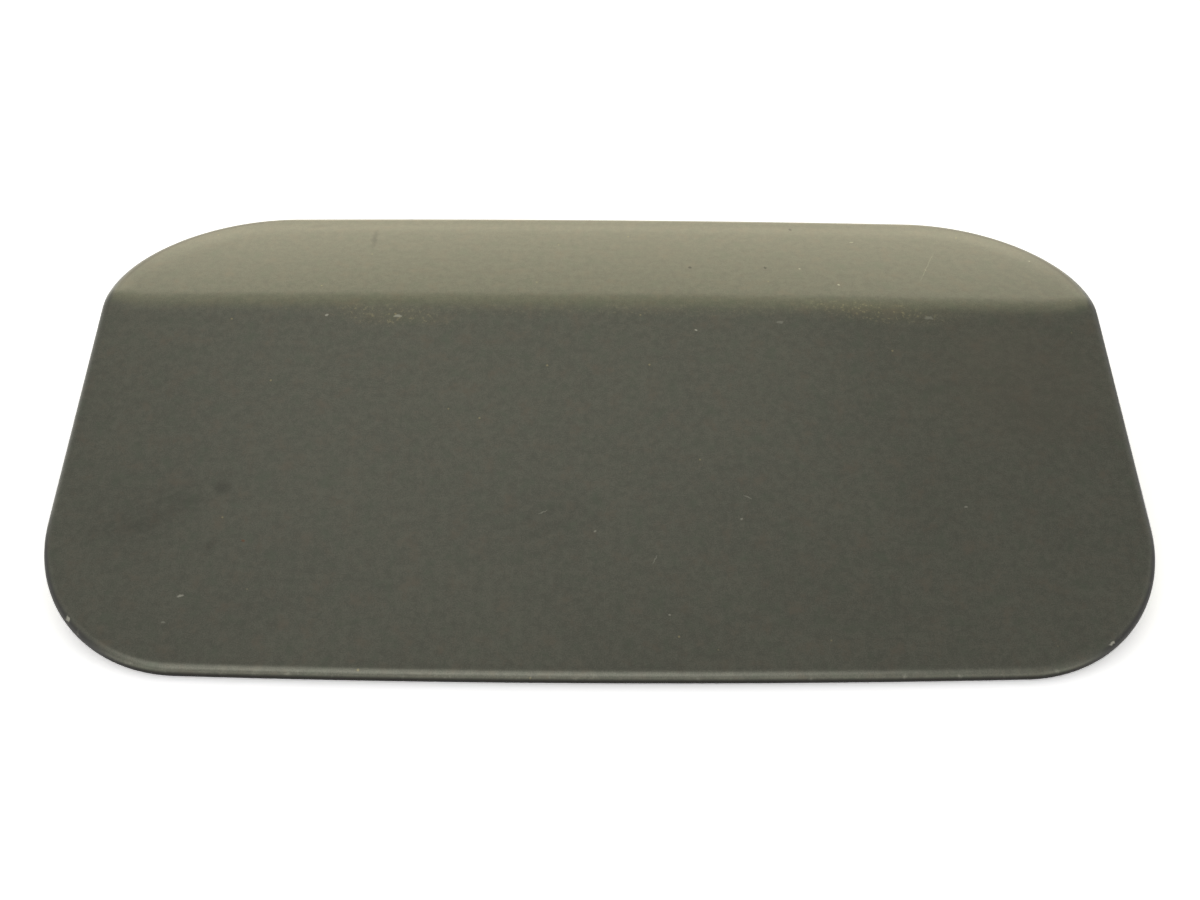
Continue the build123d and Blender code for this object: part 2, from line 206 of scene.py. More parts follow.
def sideView(s, start, radius, flatter, steeper):
    # the section is drawn by its heading: level on the main face, turning at the crease radius,
    # then turning slowly over the strip; y and z are the running sums of its cosine and sine
    run = np.linspace(-skin["overrun"], faceEnd + skin["overrun"], skin["stations"])
    turned = start + radius * (fold - flatter)
    heading = np.interp(run, [start, turned, faceEnd], [0, fold - flatter, fold + steeper])
    step = run[1] - run[0]
    ahead, down = np.cos(heading), np.sin(heading)
    y = run[0] + np.concatenate([[0], np.cumsum(ahead[1:] + ahead[:-1]) * step / 2])
    z = -np.concatenate([[0], np.cumsum(down[1:] + down[:-1]) * step / 2])
    return np.interp(s, run, y), np.interp(s, run, z), np.interp(s, run, heading)


def faceSurface(x, s, depth, inset):
    # side view moved in by depth along its normal, barrelled away from the rim, then turned about
    # the crown's axis, so z = -R + sqrt((R + z0)^2 - x^2); the outline's walls stand square to the
    # strip, so the crown's drop draws the strip's edge in by its sine
    angle = np.clip((s - bendStart) / skin["creaseRadius"], 0, fold)
    s = s - np.sin(angle) * x**2 / (2 * skin["crown"])
    plain = sideView(s, bendStart, skin["creaseRadius"], 0.0, 0.0)
    flatter, steeper = math.radians(skin["flatter"]), math.radians(skin["steeper"])
    softStart = skin["main"] - skin["softRadius"] * math.tan(fold / 2) - skin["softLead"]
    soft = sideView(s, softStart, skin["softRadius"], flatter, steeper)
    ease = np.clip((inset - skin["easeFrom"]) / skin["easeOver"], 0, 1)
    ease = ease**2 * (3 - 2 * ease)
    y, z, heading = (a + ease * (b - a) for a, b in zip(plain, soft))
    y = y - depth * np.sin(heading)
    z = z - depth * np.cos(heading)
    return x, y, -skin["crown"] + np.sqrt((skin["crown"] + z) ** 2 - x**2)


def skinOutline():
    # outline in plan with its outward direction: near arc, corner, side, corner, far edge, mirrored
    half, near, far, sweep = skin["width"] / 2, skin["nearCorner"], skin["farCorner"], skin["nearSweep"]
    alongNear, roundNear, alongSide, roundFar, alongFar = skin["edgeSteps"]
    nearX = half - near
    nearS = sweep - math.sqrt((sweep - near) ** 2 - nearX**2)
    farX, farS = half - far, faceEnd - far
    start = math.atan2(nearS - sweep, nearX)
    lead = np.linspace(-math.pi / 2, start, alongNear, endpoint=False)
    turn = np.linspace(start, 0, roundNear, endpoint=False)
    side = np.linspace(nearS, farS, alongSide, endpoint=False)
    bend = np.linspace(0, math.pi / 2, roundFar, endpoint=False)
    back = np.linspace(farX, 0, alongFar)
    upright, level = np.ones(alongSide), np.ones(alongFar)
    edgeX = [
        sweep * np.cos(lead), nearX + near * np.cos(turn), half * upright,
        farX + far * np.cos(bend), back,
    ]
    edgeS = [
        sweep + sweep * np.sin(lead), nearS + near * np.sin(turn), side,
        farS + far * np.sin(bend), faceEnd * level,
    ]
    outX = [np.cos(lead), np.cos(turn), upright, np.cos(bend), 0 * level]
    outS = [np.sin(lead), np.sin(turn), 0 * upright, np.sin(bend), level]
    right = np.stack([np.concatenate(part) for part in (edgeX, edgeS, outX, outS)])
    left = right[:, -2:0:-1] * np.array([-1, 1, -1, 1])[:, None]
    return np.concatenate([right, left], axis=1)


def buildSkin():
    edgeX, edgeS, outX, outS = skinOutline()
    reach, rim, tuck, hem, sheet = (skin[key] for key in ("rimReach", "rimRound", "hemRound", "hem", "sheet"))
    inner, pole, width, rings = (skin[key] for key in ("ringInset", "poleInset", "hemWidth", "rings"))
    # profile across the rim as (inset, depth): face, edge rolled as a quarter ellipse, turn under it,
    # flat hem, then back through the fold and along the inside of the sheet
    roll = np.linspace(0, math.pi / 2, rings["roll"])
    inset = np.concatenate([
        np.linspace(inner, reach, rings["face"], endpoint=False), reach - reach * np.sin(roll),
        tuck - tuck * np.cos(roll), np.linspace(tuck, width, rings["hem"] + 1)[1:],
        [width, width, sheet, sheet, inner],
    ])[:, None]
    depth = np.concatenate([
        np.zeros(rings["face"]), rim - rim * np.cos(roll),
        hem - tuck + tuck * np.sin(roll), np.full(rings["hem"], hem),
        [hem - skin["hemEdge"], hem - sheet, hem - sheet, sheet, sheet],
    ])[:, None]
    planX = edgeX - inset * outX
    planS = edgeS - inset * outS
    # the broad faces shrink from the inner ring to a pole in the middle
    middle = faceEnd / 2
    shrink = np.linspace(0, 1, rings["top"], endpoint=False)[:, None]
    fade = np.linspace(1, 0, rings["back"] + 1)[1:, None]
    x = np.concatenate([planX[0] * shrink, planX, planX[-1] * fade])
    s = np.concatenate([middle + (planS[0] - middle) * shrink, planS, middle + (planS[-1] - middle) * fade])
    ones = np.ones_like(edgeX)
    deep = np.concatenate([0 * shrink, depth, 0 * fade + sheet]) * ones
    topInset, backInset = (inner + (pole - inner) * (1 - part) for part in (shrink, fade))
    fromEdge = np.concatenate([topInset, inset, backInset]) * ones
    piece = gridPiece("doorSkin", toFrame(*faceSurface(x, s, deep, fromEdge)))
    # the plan keeps x, unrolled length and distance from the rim, which is below zero on the underside
    turnOver = (rim + hem - tuck) / 2
    keepVector(piece, "plan", np.stack([x, s, np.where(deep > turnOver, -fromEdge, fromEdge)], axis=-1))
    return piece


doorSkin = buildSkin()
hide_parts("outer_skin")
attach(doorSkin, "door")
print("skin built,", len(doorSkin.data.polygons), "faces")

# paint: fine metallic flake in a satin grey-olive, with handling marks and painted shade along the rim; sizes
# in mm on the plan
paint = {
    "deep": rgb(95, 95, 84), "light": rgb(110, 110, 97), "warm": rgb(111, 104, 90), "green": rgb(95, 101, 86),
    # the lip colour is painted shade, used for the rim's dark lip, its dark lines and the darkened corner
    # roll
    "bare": rgb(178, 176, 160), "dust": rgb(176, 164, 124), "grime": rgb(46, 44, 39), "lipShade": rgb(24, 22, 19),
    "rust": rgb(120, 84, 62),
    "metal": 0.75, "coat": 0.3, "coatRoughness": 0.2, "bump": (0.00002, 0.35),
    "roughness": 0.36, "roughDrift": 0.12, "dustRough": 0.3, "dullRough": 0.2,
    # noises as scale per mm, detail and roughness, and how far each one shades the paint
    "fine": (0.55, 4.0, 0.85), "flake": (4.2, 1.0, 0.6),
    "cloud": (0.045, 3.0, 0.6), "mottle": (0.24, 3.0, 0.7),
    "fineShare": 3.2, "flakeShare": 2.6, "cloudShare": 0.7, "shadeOffset": -2.75, "mottleShare": 0.6,
    "wipe": (0.4, 3.0, 0.6), "wipeTurn": 22, "wipeStretch": (6.0, 1.0, 1.0),
    "grains": (1.1, 4.0, 0.7), "strays": 0.14, "rub": (0.5, 3.0, 0.65),
    # strength of each kind of dirt
    "smudgeShare": 0.3, "stainShare": 0.3, "grainShare": 0.5, "filmShare": 0.07, "strayShare": 0.5,
    "scuffShare": 0.4, "lipShadeShare": 0.92,
    # bands along the edge, none to full, by distance from the rim: below zero is the underside
    # the bands for the corner roll, the far corners, the sides and the lip place painted shade along the rim
    "rubBand": (1.3, 0.3), "rollShadeBand": (1.7, 0.6), "cornerShadeBand": (3.2, 1.8), "sideShadeBand": (1.2, 0.5),
    "lipShadeBand": (0.66, 0.06), "hemBand": (-0.4, -1.2), "topBand": (-3.2, -0.8),
    # scale and reach of the noise that makes an edge ragged
    "ragged": (0.09, 14.0), "rubbed": (0.5, 1.2), "drifted": (0.2, 3.0), "jagged": (1.6, 0.7),
}
# marks on the plan as x, s, half length, half width, turn and strength
marks = {
    "pale": [
        (-96.5, 11.4, 0.75, 0.42, -52, 0.85), (92.0, 7.6, 0.8, 0.3, 28, 0.75),
        (-76.8, 15.7, 0.7, 0.3, 8, 0.75), (-79.0, 10.6, 0.5, 0.28, 0, 0.35),
        (12.2, 12.2, 0.3, 0.3, 0, 0.6), (-1.4, 28.9, 0.4, 0.3, 20, 0.5),
        (26.4, 31.7, 0.4, 0.3, 0, 0.5), (69.4, 34.7, 0.4, 0.3, 0, 0.5),
        (19.4, 75.1, 0.3, 0.3, 0, 0.95), (-11.2, 32.9, 1.3, 0.14, 25, 0.35),
        (27.8, 36.3, 1.1, 0.13, -30, 0.35), (9.7, 23.1, 1.2, 0.13, 65, 0.35),
        (71.8, 98.3, 9.2, 0.1, 66, 0.25), (43.4, 96.5, 0.3, 0.3, 0, 0.6),
        (50.9, 89.9, 0.35, 0.35, 0, 0.75), (56.9, 109.4, 0.7, 0.25, 20, 0.45),
        (95.7, 102.1, 0.3, 0.3, 0, 0.6), (-42.4, 78.2, 1.1, 0.35, 4, 0.7),
        (-57.2, 78.4, 0.4, 0.32, 0, 0.8), (37.0, 77.3, 0.9, 0.4, 0, 0.3),
        (68.3, 78.9, 1.1, 0.5, 0, 0.35),
    ],
    "dark": [
        (19.3, 96.4, 0.5, 0.6, 0, 0.8), (35.8, 96.7, 0.45, 0.7, 0, 0.8), (43.8, 115.6, 0.5, 0.8, 0, 0.7),
    ],
    "rust": [(-67.0, 26.7, 0.4, 0.35, 0, 0.7)],
    "streaks": [  # soft dark rubs
        (-51.4, 109.0, 7.0, 1.1, 92, 0.36), (-65.2, 116.0, 4.0, 1.6, 10, 0.25),
        (-72.5, 38.1, 2.4, 2.4, 0, 0.3), (-73.0, 25.9, 2.0, 2.0, 0, 0.22),
    ],
    "smudges": [(-85.3, 32.7, 19.0, 6.5, 22, 0.55), (-8.9, 31.2, 13.0, 10.0, 0, 0.38)],
    "stain": [(13.0, 102.4, 9.0, 7.0, 30, 0.5), (86.0, 64.0, 28.0, 22.0, 0, 0.8)],
    "drifts": [
        (-44.0, 78.6, 17.0, 3.6, -4, 1.0), (58.0, 80.4, 22.0, 3.8, -6, 1.0), (10.0, 80.0, 90.0, 2.4, 0, 0.28),
    ],
    # far-corner marks: painted shade, a dark line on the rim of the far corners
    "farCornerShade": [(-88.0, 104.0, 26.0, 26.0, 0, 0.75), (88.0, 104.0, 26.0, 26.0, 0, 0.8)],
    # side marks: painted shade, a dark line along the rim of both sides that puts out its sheen
    "sides": [(-106.0, 48.0, 16.0, 66.0, 0, 0.7), (106.0, 48.0, 16.0, 66.0, 0, 0.8)],
    # near-corner and right-side marks: painted shade that darkens the edge roll and puts out its highlight
    "rollShade": [
        (-101.5, 14.5, 21.0, 20.0, 0, 0.9), (101.5, 15.0, 22.0, 20.0, 0, 1.0),
        (106.0, 52.0, 12.0, 60.0, 0, 0.6),
    ],
}
fullWithin = {  # share of each mark's size inside which it is at full strength
    "pale": 0.55, "dark": 0.5, "rust": 0.4, "streaks": 0.1, "smudges": 0.25, "stain": 0.2, "drifts": 0.1,
    "farCornerShade": 0.5, "sides": 0.6, "rollShade": 0.5,
}


def markMask(tree, vector, kind):  # soft-edged ellipses, the strongest one winning
    mask = None
    for x, s, long, wide, turn, strength in marks[kind]:
        near = placed(tree, vector, (x, s, 0.0), turn, (long, wide, 1.0))
        away = add(tree, "ShaderNodeVectorMath", {0: near}, operation="LENGTH").outputs["Value"]
        spot = remap(tree, away, 1.0, fullWithin[kind], 0.0, strength)
        mask = spot if mask is None else larger(tree, mask, spot)
    return mask


def flakeColour(tree, flat, fine, cloud):  # flake grain, drifting a little warm and a little green
    shade = scaled(tree, cloud, paint["cloudShare"], paint["shadeOffset"])
    shade = scaled(tree, fine, paint["fineShare"], shade)
    shade = scaled(tree, speckle(tree, flat, *paint["flake"]), paint["flakeShare"], shade)
    colour = tint(tree, shade, paint["deep"], paint["light"])
    mottle = speckle(tree, flat, *paint["mottle"])
    for full, drift in ((0.75, "warm"), (0.25, "green")):
        colour = tint(tree, remap(tree, mottle, 0.5, full, 0.0, paint["mottleShare"]), colour, paint[drift])
    return colour


def handledColour(tree, flat, colour):
    # wiped smudges, streaky along their length, then brownish stains and dark rubs
    ragged = wander(tree, flat, *paint["ragged"])
    wiped = placed(tree, flat, turn=paint["wipeTurn"], size=paint["wipeStretch"])
    streaky = remap(tree, speckle(tree, wiped, *paint["wipe"]), 0.35, 0.62, 0.2, 1.0)
    smudge = times(tree, markMask(tree, ragged, "smudges"), streaky)
    colour = tint(tree, times(tree, smudge, paint["smudgeShare"]), colour, paint["grime"])
    stain = markMask(tree, ragged, "stain")
    colour = tint(tree, times(tree, stain, paint["stainShare"]), colour, paint["warm"])
    rubs = markMask(tree, wander(tree, flat, *paint["rubbed"]), "streaks")
    return tint(tree, rubs, colour, paint["grime"])


def dustMask(tree, flat):  # grains caught along the crease, thickest in two drifts, and a few strays anywhere
    drift = markMask(tree, wander(tree, flat, *paint["drifted"]), "drifts")
    grain = times(tree, remap(tree, speckle(tree, flat, *paint["grains"]), 0.55, 0.63), drift)
    stray = cells(tree, flat, paint["strays"])["Distance"]
    settled = larger(tree, times(tree, grain, paint["grainShare"]), times(tree, drift, paint["filmShare"]))
    return larger(tree, settled, remap(tree, stray, 0.042, 0.022, 0.0, paint["strayShare"]))


def paintFinish():
    material, tree, shader = newFinish("satinPaint", Coat_Roughness=paint["coatRoughness"])
    plan = add(tree, "ShaderNodeAttribute", attribute_name="plan").outputs["Vector"]
    inset = add(tree, "ShaderNodeSeparateXYZ", {0: plan}).outputs[2]
    flat = add(tree, "ShaderNodeVectorMath", {0: plan, 1: (1.0, 1.0, 0.0)}, operation="MULTIPLY").outputs[0]
    band = {key: remap(tree, inset, *paint[key]) for key in paint if key.endswith("Band")}
    fine = speckle(tree, flat, *paint["fine"])
    cloud = speckle(tree, flat, *paint["cloud"])
    colour = handledColour(tree, flat, flakeColour(tree, flat, fine, cloud))
    dust = dustMask(tree, flat)
    colour = tint(tree, dust, colour, paint["dust"])
    # painted shade on the edge roll of the near corners and the right side, which puts out the roll's
    # highlight there; dull and without flake
    rollShade = times(tree, times(tree, band["rollShadeBand"], markMask(tree, flat, "rollShade")), band["topBand"])
    colour = tint(tree, rollShade, colour, paint["lipShade"])
    # nicks and chips where the door was knocked
    jagged = wander(tree, flat, *paint["jagged"])
    for kind, shown in (("pale", "bare"), ("dark", "grime"), ("rust", "rust")):
        colour = tint(tree, markMask(tree, jagged, kind), colour, paint[shown])
    # paint rubbed on the rolled edge, grime under the hem, then painted shade along the rim: a dark lip where
    # the rolled edge would mirror the floor's shadow, and dark lines at the far corners and down the sides
    scuff = times(tree, band["rubBand"], remap(tree, speckle(tree, flat, *paint["rub"]), 0.56, 0.76))
    colour = tint(tree, times(tree, scuff, paint["scuffShare"]), colour, paint["bare"])
    hemGrime = times(tree, band["hemBand"], remap(tree, cloud, 0.3, 0.7, 0.25, 0.75))
    colour = tint(tree, hemGrime, colour, paint["grime"])
    lipShade = times(tree, band["lipShadeBand"], band["topBand"])
    cornerShadeLine = times(tree, band["cornerShadeBand"], markMask(tree, flat, "farCornerShade"))
    sideShadeLine = times(tree, times(tree, band["sideShadeBand"], markMask(tree, flat, "sides")), band["topBand"])
    lines = larger(tree, times(tree, lipShade, paint["lipShadeShare"]), larger(tree, cornerShadeLine, sideShadeLine))
    colour = tint(tree, lines, colour, paint["lipShade"])
    # the painted shade on the lip and the corner roll takes the gloss away, and on the corner roll the flake
    # too; dust roughens the paint
    dull = larger(tree, lipShade, rollShade)
    rough = scaled(tree, cloud, paint["roughDrift"], paint["roughness"] - paint["roughDrift"] / 2)
    rough = scaled(tree, dull, paint["dullRough"], scaled(tree, dust, paint["dustRough"], rough))
    metal = scaled(tree, rollShade, -paint["metal"], paint["metal"])
    gloss = scaled(tree, dull, -paint["coat"], paint["coat"])
    wire(tree, shader, Base_Color=colour, Metallic=metal, Roughness=rough, Coat_Weight=gloss)
    wire(tree, shader, Normal=raised(tree, fine, *paint["bump"]))
    return material


doorSkin.data.materials.append(paintFinish())
print("paint mixed")


# over-centre spring; mm in door axes, up is along the hinge pin
spring = {
    "wire": 0.7, "tab": (44.0, 82.1, -17.0), "hook": (67.8, 82.1, -18.6), "lean": 60.0,
    "bend": 1.6, "tabTail": 7.0, "hookTail": 2.8, "endRing": 0.7,
    "sides": 20, "tailSteps": 9, "bendSteps": 10, "bowSteps": 60, "hookSteps": 5,
}


def springPath():
    # tail along the pin, quarter circle into the bow's plane, bow as an arc that leaves and arrives
    # at the lean angle, quarter circle, tail; with it, the heading that each point has in that plane
    tab, hook = np.array(spring["tab"]), np.array(spring["hook"])
    up = np.array([0.0, 1.0, 0.0])
    along = (hook - tab) / np.linalg.norm(hook - tab)
    rise = np.array([-along[2], 0.0, along[0]])
    lean, bend = math.radians(spring["lean"]), spring["bend"]
    leave = along * math.cos(lean) + rise * math.sin(lean)
    arrive = along * math.cos(lean) - rise * math.sin(lean)
    turn = np.linspace(0, math.pi / 2, spring["bendSteps"])[:, None]
    tailIn = tab - up * np.linspace(spring["tabTail"], bend, spring["tailSteps"], endpoint=False)[:, None]
    bendIn = tab + leave * bend * (1 - np.cos(turn)) - up * bend * (1 - np.sin(turn))
    first, last = tab + leave * bend, hook - arrive * bend
    radius = np.linalg.norm(last - first) / 2 / math.sin(lean)
    centre = (first + last) / 2 - rise * radius * math.cos(lean)
    sweep = np.linspace(-lean, lean, spring["bowSteps"])[1:-1, None]
    bow = centre + radius * (along * np.sin(sweep) + rise * np.cos(sweep))
    bendOut = hook - arrive * bend * (1 - np.sin(turn)) - up * bend * (1 - np.cos(turn))
    tailOut = hook - up * np.linspace(bend, spring["hookTail"], spring["hookSteps"])[1:, None]
    heading = [
        np.tile(leave, (len(tailIn) + len(bendIn), 1)), along * np.cos(sweep) - rise * np.sin(sweep),
        np.tile(arrive, (len(bendOut) + len(tailOut), 1)),
    ]
    return np.concatenate([tailIn, bendIn, bow, bendOut, tailOut]), np.concatenate(heading), up


def buildSpring():
    # a circle square to the path is carried along it, and its flat ends close onto a point
    path, heading, up = springPath()
    radius = spring["wire"]
    tangent = np.gradient(path, axis=0)
    tangent /= np.linalg.norm(tangent, axis=1)[:, None]
    sideways = np.cross(up, heading)
    across = np.cross(tangent, sideways)
    around = np.linspace(0, 2 * math.pi, spring["sides"], endpoint=False)
    ring = np.cos(around)[:, None] * sideways[:, None] + np.sin(around)[:, None] * across[:, None]
    tube = path[:, None] + radius * ring
    capsIn = [path[:1, None] + radius * share * ring[:1] for share in (0.0, spring["endRing"])]
    capsOut = [path[-1:, None] + radius * share * ring[-1:] for share in (spring["endRing"], 0.0)]
    points = np.concatenate([*capsIn, tube, *capsOut])
    piece = gridPiece("springWire", toFrame(points[..., 0], points[..., 1], points[..., 2]))
    # the wrap keeps the length along the wire and the place on its section
    travel = np.concatenate([[0], np.cumsum(np.linalg.norm(np.diff(path, axis=0), axis=1))])
    travel = np.pad(travel, len(capsIn), mode="edge")[:, None] + 0 * around
    section = [radius * np.sin(around) + 0 * travel, radius * np.cos(around) + 0 * travel]
    keepVector(piece, "wrap", np.stack([travel, *section], axis=-1))
    return piece


springWire = buildSpring()
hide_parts("hinge_spring")
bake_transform(springWire)
print("spring wound")

# inner panel: body colour sprayed thinly over primer, with a film of road dust; noises per mm
panelCoat = {
    "thin": rgb(84, 84, 74), "primer": rgb(112, 109, 99), "film": rgb(138, 131, 112), "damp": rgb(58, 57, 51),
    "metal": 0.35, "roughness": 0.38, "bump": (0.00003, 0.5),
    "cover": (0.045, 4.0, 0.62), "spray": (1.4, 2.0, 0.6), "road": (0.09, 5.0, 0.7),
    "drops": 0.075, "dropWander": (0.3, 2.0), "grit": 0.55,
}


def panelFinish():
    material, tree, shader = newFinish("thinBodyColour", Metallic=panelCoat["metal"])
    at = inMm(tree)
    cover = speckle(tree, at, *panelCoat["cover"])
    spray = speckle(tree, at, *panelCoat["spray"])
    bareness = remap(tree, scaled(tree, spray, 0.35, cover), 0.56, 0.86)
    colour = tint(tree, bareness, panelCoat["thin"], panelCoat["primer"])
    film = remap(tree, speckle(tree, at, *panelCoat["road"]), 0.52, 0.78, 0.0, 0.34)
    colour = tint(tree, film, colour, panelCoat["film"])
    drops = cells(tree, wander(tree, at, *panelCoat["dropWander"]), panelCoat["drops"])["Distance"]
    colour = tint(tree, remap(tree, drops, 0.2, 0.1, 0.0, 0.3), colour, panelCoat["damp"])
    grit = remap(tree, cells(tree, at, panelCoat["grit"])["Distance"], 0.16, 0.08, 0.0, 0.35)
    colour = tint(tree, times(tree, grit, remap(tree, cover, 0.45, 0.6)), colour, panelCoat["film"])
    rough = scaled(tree, film, 0.5, scaled(tree, cover, 0.2, panelCoat["roughness"]))
    wire(tree, shader, Base_Color=colour, Roughness=rough, Normal=raised(tree, spray, *panelCoat["bump"]))
    return material


# hinge leaf: black dip coat with dull patches and light scuffs
blackCoat = {
    "black": rgb(27, 27, 27), "pale": rgb(62, 61, 58), "scuff": rgb(112, 110, 104),
    "coat": 0.15, "coatRoughness": 0.3, "roughness": 0.28, "bump": (0.00004, 0.5),
    "patch": (0.16, 4.0, 0.6), "peel": (1.1, 2.0, 0.5),
    "scratch": (0.5, 3.0, 0.6), "scratchTurn": 12, "scratchStretch": (5.0, 0.5, 0.5),
}


def blackFinish():
    gloss = {"Coat_Weight": blackCoat["coat"], "Coat_Roughness": blackCoat["coatRoughness"]}
    material, tree, shader = newFinish("blackCoat", **gloss)
    at = inMm(tree)
    patch = speckle(tree, at, *blackCoat["patch"])
    peel = speckle(tree, at, *blackCoat["peel"])
    colour = tint(tree, remap(tree, patch, 0.45, 0.75), blackCoat["black"], blackCoat["pale"])
    drawn = placed(tree, at, turn=blackCoat["scratchTurn"], size=blackCoat["scratchStretch"])
    lines = remap(tree, speckle(tree, drawn, *blackCoat["scratch"]), 0.66, 0.74)
    scuff = times(tree, lines, remap(tree, patch, 0.48, 0.6))
    colour = tint(tree, times(tree, scuff, 0.6), colour, blackCoat["scuff"])
    rough = scaled(tree, patch, 0.3, blackCoat["roughness"])
    wire(tree, shader, Base_Color=colour, Roughness=rough, Normal=raised(tree, peel, *blackCoat["bump"]))
    return material


# hinge base, striker and rivets: dull plating, cloudy, faintly warm or pale, freckled
plating = {
    "metal": 0.95, "roughness": 0.24, "bump": (0.00004, 0.4), "cloud": (0.22, 5.0, 0.65), "freckles": 0.4,
    "zinc": {
        "pale": rgb(166, 166, 160), "drift": rgb(172, 162, 132), "dark": rgb(112, 112, 108), "crystals": 1.6,
    },
    "rivet": {
        "pale": rgb(150, 149, 145), "drift": rgb(166, 166, 160), "dark": rgb(96, 95, 92), "crystals": 2.6,
    },
}


def platedFinish(name, plate):
    material, tree, shader = newFinish(name, Metallic=plating["metal"])
    at = inMm(tree)
    cloud = speckle(tree, at, *plating["cloud"])
    colour = tint(tree, remap(tree, cloud, 0.4, 0.68), plate["pale"], plate["drift"])
    crystals = cells(tree, at, plate["crystals"])["Color"]
    crystal = add(tree, "ShaderNodeSeparateColor", {0: crystals}).outputs[0]
    colour = tint(tree, remap(tree, crystal, 0.3, 1.0, 0.0, 0.22), colour, plate["dark"])
    freckle = remap(tree, cells(tree, at, plating["freckles"])["Distance"], 0.13, 0.05, 0.0, 0.55)
    colour = tint(tree, freckle, colour, plate["dark"])
    rough = scaled(tree, cloud, 0.25, scaled(tree, crystal, 0.12, plating["roughness"]))
    wire(tree, shader, Base_Color=colour, Roughness=rough, Normal=raised(tree, cloud, *plating["bump"]))
    return material


# hinge pin: lathe rings along its length, with old oil
turnedSteel = {
    "steel": rgb(150, 149, 145), "dark": rgb(96, 95, 92), "oil": rgb(74, 66, 54),
    "roughness": 0.18, "bump": (0.00002, 0.5),
    "rings": (1.0, 3.0, 0.6), "ringStretch": (8.0, 0.12, 8.0), "oiled": (0.3, 3.0, 0.6),
}


def turnedFinish():
    material, tree, shader = newFinish("turnedSteel", Metallic=1.0)
    level = {"Vector": inMm(tree), "Rotation": (math.radians(-lay["restAngle"]), 0.0, 0.0)}
    turned = add(tree, "ShaderNodeMapping", level).outputs[0]
    rings = speckle(tree, placed(tree, turned, size=turnedSteel["ringStretch"]), *turnedSteel["rings"])
    oil = speckle(tree, turned, *turnedSteel["oiled"])
    colour = tint(tree, remap(tree, rings, 0.35, 0.65), turnedSteel["dark"], turnedSteel["steel"])
    colour = tint(tree, remap(tree, oil, 0.55, 0.72, 0.0, 0.6), colour, turnedSteel["oil"])
    rough = scaled(tree, rings, 0.2, turnedSteel["roughness"])
    wire(tree, shader, Base_Color=colour, Roughness=rough, Normal=raised(tree, rings, *turnedSteel["bump"]))
    return material


# spring and pin clip: dark drawn wire, rubbed paler on its lines, browned in places
drawnSteel = {
    "dark": rgb(62, 62, 65), "pale": rgb(96, 95, 96), "brown": rgb(70, 58, 48),
    "metal": 0.9, "roughness": 0.18, "bump": (0.00002, 0.5),
    "lines": (1.0, 3.0, 0.6), "lineStretch": (6.0, 0.25, 0.25), "browned": (0.35, 4.0, 0.65),
}


def springFinish(name, attribute=None):
    material, tree, shader = newFinish(name, Metallic=drawnSteel["metal"])
    if attribute:
        at = add(tree, "ShaderNodeAttribute", attribute_name=attribute).outputs["Vector"]
    else:
        at = inMm(tree)
    drawn = speckle(tree, placed(tree, at, size=drawnSteel["lineStretch"]), *drawnSteel["lines"])
    brown = speckle(tree, at, *drawnSteel["browned"])
    colour = tint(tree, remap(tree, drawn, 0.4, 0.7), drawnSteel["dark"], drawnSteel["pale"])
    colour = tint(tree, remap(tree, brown, 0.52, 0.72, 0.0, 0.7), colour, drawnSteel["brown"])
    rough = scaled(tree, drawn, 0.2, scaled(tree, brown, 0.2, drawnSteel["roughness"]))
    wire(tree, shader, Base_Color=colour, Roughness=rough, Normal=raised(tree, drawn, *drawnSteel["bump"]))
    return material


# bushes: natural nylon, a little see-into, yellowed in clouds
nylonBush = {
    "pale": rgb(214, 207, 186), "warm": rgb(196, 182, 150), "roughness": 0.32, "bump": (0.00002, 0.4),
    "seeInto": 0.3, "seeDepth": (0.0012, 0.001, 0.0007), "cloud": (0.5, 3.0, 0.6), "grain": (3.0, 2.0, 0.55),
}


def nylonFinish():
    depth = {"Subsurface_Weight": nylonBush["seeInto"], "Subsurface_Radius": nylonBush["seeDepth"]}
    material, tree, shader = newFinish("naturalNylon", **depth)
    at = inMm(tree)
    cloud = speckle(tree, at, *nylonBush["cloud"])
    grain = speckle(tree, at, *nylonBush["grain"])
    colour = tint(tree, remap(tree, cloud, 0.42, 0.68), nylonBush["pale"], nylonBush["warm"])
    rough = scaled(tree, cloud, 0.25, nylonBush["roughness"])
    wire(tree, shader, Base_Color=colour, Roughness=rough, Normal=raised(tree, grain, *nylonBush["bump"]))
    return material


# buffers: moulded black rubber with a grey bloom
bufferRubber = {
    "black": rgb(27, 27, 27), "bloom": rgb(66, 65, 62), "roughness": 0.55, "bump": (0.00004, 0.6),
    "cloud": (0.35, 4.0, 0.65), "grain": (4.0, 2.0, 0.6),
}


def rubberFinish():
    material, tree, shader = newFinish("bufferRubber")
    at = inMm(tree)
    bloom = speckle(tree, at, *bufferRubber["cloud"])
    grain = speckle(tree, at, *bufferRubber["grain"])
    greyed = remap(tree, bloom, 0.45, 0.72, 0.0, 0.7)
    colour = tint(tree, greyed, bufferRubber["black"], bufferRubber["bloom"])
    rough = scaled(tree, bloom, 0.25, bufferRubber["roughness"])
    wire(tree, shader, Base_Color=colour, Roughness=rough, Normal=raised(tree, grain, *bufferRubber["bump"]))
    return material


